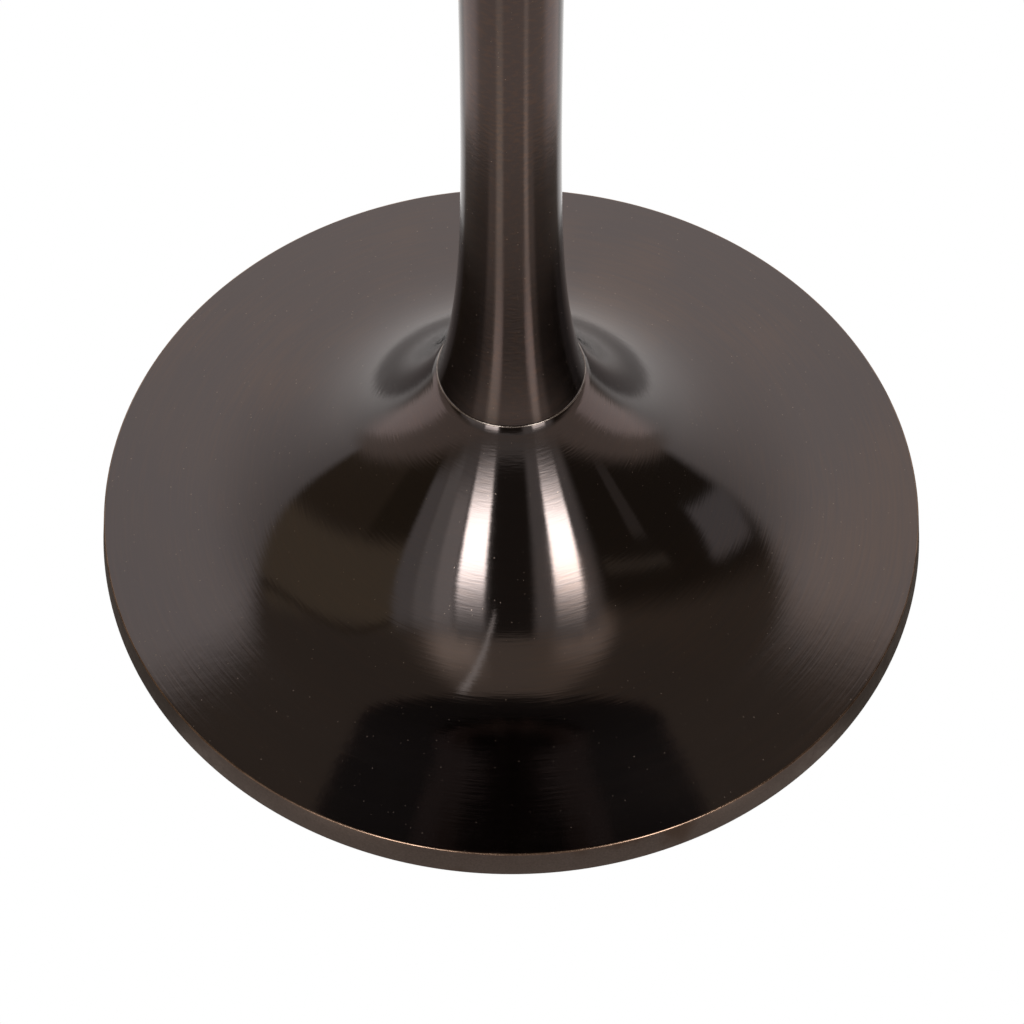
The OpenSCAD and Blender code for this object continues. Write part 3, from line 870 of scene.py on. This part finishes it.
def floor():
    """White to the camera. What the metal reflects of it is grey in front, with a shadow round
    the foot and the strip lights' two long glints."""
    mesh = bpy.data.meshes.new("floor")
    reach = 8.0
    mesh.from_pydata(
        [(-reach, -reach, 0), (reach, -reach, 0), (reach, reach, 0), (-reach, reach, 0)],
        [], [(0, 1, 2, 3)],
    )
    ground = bpy.data.objects.new("floor", mesh)
    bpy.context.scene.collection.objects.link(ground)
    material, tree, shader = finish_of(
        "white_paper", Base_Color=(0, 0, 0, 1), Roughness=1.0, Emission_Strength=1.0,
        Specular_IOR_Level=0.0,
    )
    p = Pattern(tree)
    side = p.x.maths("ARCTAN2", p.x, p.y) * DEGREES
    left = side * -1.0
    away = side.maths("ABSOLUTE", side)
    seen = colour_mix(tree, patch(tree, p.r, 0.34, 0.60, 0.04), HORIZON_FLOOR, (0.66, 0.57, 0.52))
    beside = 1.0 - rise_over(tree, away, 92, 112)
    seen = colour_mix(tree, patch(tree, p.r, 0.34, 0.70, 0.03) * beside, seen, (1.05, 0.93, 0.90))
    shadow = patch(tree, away, 50, 130, 5) * (1.0 - rise_over(tree, p.r, 0.30, 0.35))
    seen = colour_mix(tree, shadow, seen, (0.17, 0.145, 0.125))
    glints = rise_over(tree, p.r, 0.24, 0.27) * (1.0 - rise_over(tree, p.r, 0.30, 0.60) * 0.8)
    seen = colour_mix(tree, patch(tree, side, 143, 152, 3) * glints, seen, (1.25, 1.10, 0.98))
    seen = colour_mix(tree, patch(tree, left, 148, 162, 4) * glints, seen, (1.10, 0.98, 0.86))
    seen = colour_mix(tree, 1.0 - rise_over(tree, away, 50, 62), seen, paper_behind(tree, side))
    to_camera = tree.node("ShaderNodeLightPath", {}, {}, outputs="Is Camera Ray")
    feed(tree, shader, Emission_Color=colour_mix(tree, to_camera, seen, (1.0, 1.0, 1.0)))
    mesh.materials.append(material)


def studio():
    """Radiance by direction: a white sweep behind, a darker room in front with two strip lights."""
    world = bpy.data.worlds.new("studio")
    bpy.context.scene.world = world
    world.use_nodes = True
    world.node_tree.nodes.clear()
    w = Tree(world.node_tree)
    x, y, z = w.node("ShaderNodeTexCoord", {}, {}, outputs="Generated").parts()
    side = x.maths("ARCTAN2", x, y) * DEGREES      # 0 behind, 90 on the right
    height = z.maths("ARCSINE", z) * DEGREES
    left = side * -1.0

    def layer(below, colour, mask):
        return colour_mix(w, mask, below, colour)

    away = side.maths("ABSOLUTE", side)
    # walls and ceiling, darker on the right and browner on the left
    sky = layer((0.215, 0.185, 0.15), (0.195, 0.165, 0.135), rise_over(w, height, 40, 80))
    upper_wall = patch(w, left, 50, 118, 3) * patch(w, height, 28, 57, 3)
    sky = layer(sky, (0.335, 0.285, 0.205), upper_wall)
    sky = layer(sky, (0.15, 0.12, 0.085), patch(w, left, 50, 117, 3) * patch(w, height, -2, 28, 5))
    sky = layer(sky, (0.07, 0.058, 0.045), patch(w, side, 50, 130, 3) * patch(w, height, -2, 50, 6))
    sky = layer(sky, (0.17, 0.155, 0.14), patch(w, side, 97, 104, 1) * patch(w, height, 3, 26, 2))
    rail = patch(w, side, 92, 124, 2) * patch(w, height, 33.5, 37.5, 0.8)
    sky = layer(sky, (0.19, 0.17, 0.14), rail)
    sky = layer(sky, (0.42, 0.42, 0.43), patch(w, side, 57, 74, 2) * patch(w, height, 22, 42, 2))
    # a dark beam that runs along the left wall under the ceiling, and a darker far corner
    beam = height - 3.0 * (left * (TAU / 72)).maths("SINE", left * (TAU / 72))
    beam_side = patch(w, left, 50, 116, 3) * patch(w, beam, 55.5, 57.5, 1.0)
    sky = layer(sky, (0.15, 0.122, 0.09), beam_side)
    sky = layer(sky, (0.10, 0.08, 0.055), patch(w, left, 92, 117, 3) * patch(w, height, 2, 27, 3))
    # ceiling over the front
    front = rise_over(w, away, 112, 135)
    sky = layer(sky, (0.42, 0.36, 0.30), front * rise_over(w, height, 50, 62))
    sky = layer(sky, (0.85, 0.74, 0.64), patch(w, side, 124, 152, 8) * patch(w, height, 52, 68, 7))
    sky = layer(sky, (1.10, 0.97, 0.84), patch(w, left, 132, 160, 8) * patch(w, height, 50, 72, 7))
    # soft glow round the strips, the grey wall on the left, and the dark figure in the middle
    sky = layer(sky, (0.45, 0.44, 0.43), rise_over(w, away, 124, 134) * patch(w, height, 2, 58, 5))
    sky = layer(sky, (0.48, 0.475, 0.47), patch(w, left, 114, 124, 2) * patch(w, height, 6, 56, 4))
    sky = layer(sky, (0.66, 0.66, 0.65), patch(w, left, 124, 135, 2) * patch(w, height, 6, 56, 4))
    sky = layer(sky, (1.0, 0.99, 0.97), patch(w, left, 135, 146, 2) * patch(w, height, 12, 56, 6))
    behind = patch(w, away, 166, 200, 3) * patch(w, height, 6, 60, 2)
    sky = layer(sky, (0.07, 0.06, 0.052), behind)
    # two strip lights, brightest at 28 degrees up and fading above and below
    strip = 14.0 / (1.0 + ((height - 28.0) / 13.0) ** 4.0)
    glare = w.vector(strip, strip, strip * 0.98)
    tall = patch(w, height, 6, 60, 4)
    sky = layer(sky, glare, patch(w, side, 138, 154, 1.5) * tall)
    sky = layer(sky, glare, patch(w, left, 148, 164, 1.5) * tall)
    # a ceiling tube that runs from front to back
    tube = patch(w, x / z + 0.137, -0.012, 0.012, 0.006) * patch(w, y / z, -0.8, -0.1, 0.03)
    sky = layer(sky, (1.4, 1.4, 1.35), tube * (z > 0.3))
    # the floor all round
    sky = layer(sky, HORIZON_FLOOR, rise_over(w, 0.0 - height, -4, 3))
    # the white sweep behind, brightest in the middle, with rounded upper corners
    corner = 3.5 + rise_over(w, left, -5, 5) * 1.5
    reach = (away / 58.0).least(1.5) ** corner + (height.most(0.0) / 60.5) ** corner
    sky = layer(sky, paper_behind(w, side), 1.0 - rise_over(w, reach, 0.85, 1.18))

    seen = w.node("ShaderNodeLightPath", {}, {}, outputs="Is Camera Ray")
    shown = w.node("ShaderNodeBackground", {}, {0: (1, 1, 1, 1), 1: 1.0})
    studio_light = w.node("ShaderNodeBackground", {}, {0: sky, 1: 1.0})
    mixed = w.node("ShaderNodeMixShader", {}, {0: seen, 1: studio_light, 2: shown})
    w.node("ShaderNodeOutputWorld", {}, {0: mixed})


def camera():
    lens = bpy.data.cameras.new("camera")
    lens.sensor_width = 36
    lens.lens = 84.375
    lens.clip_end = 50
    view = bpy.data.objects.new("camera", lens)
    view.location = (0.0004, -0.783, 1.1157)
    view.rotation_euler = (math.radians(35.03), 0, 0)
    bpy.context.scene.collection.objects.link(view)
    bpy.context.scene.camera = view
    bpy.context.scene.view_settings.view_transform = "Standard"


floor()
studio()
camera()
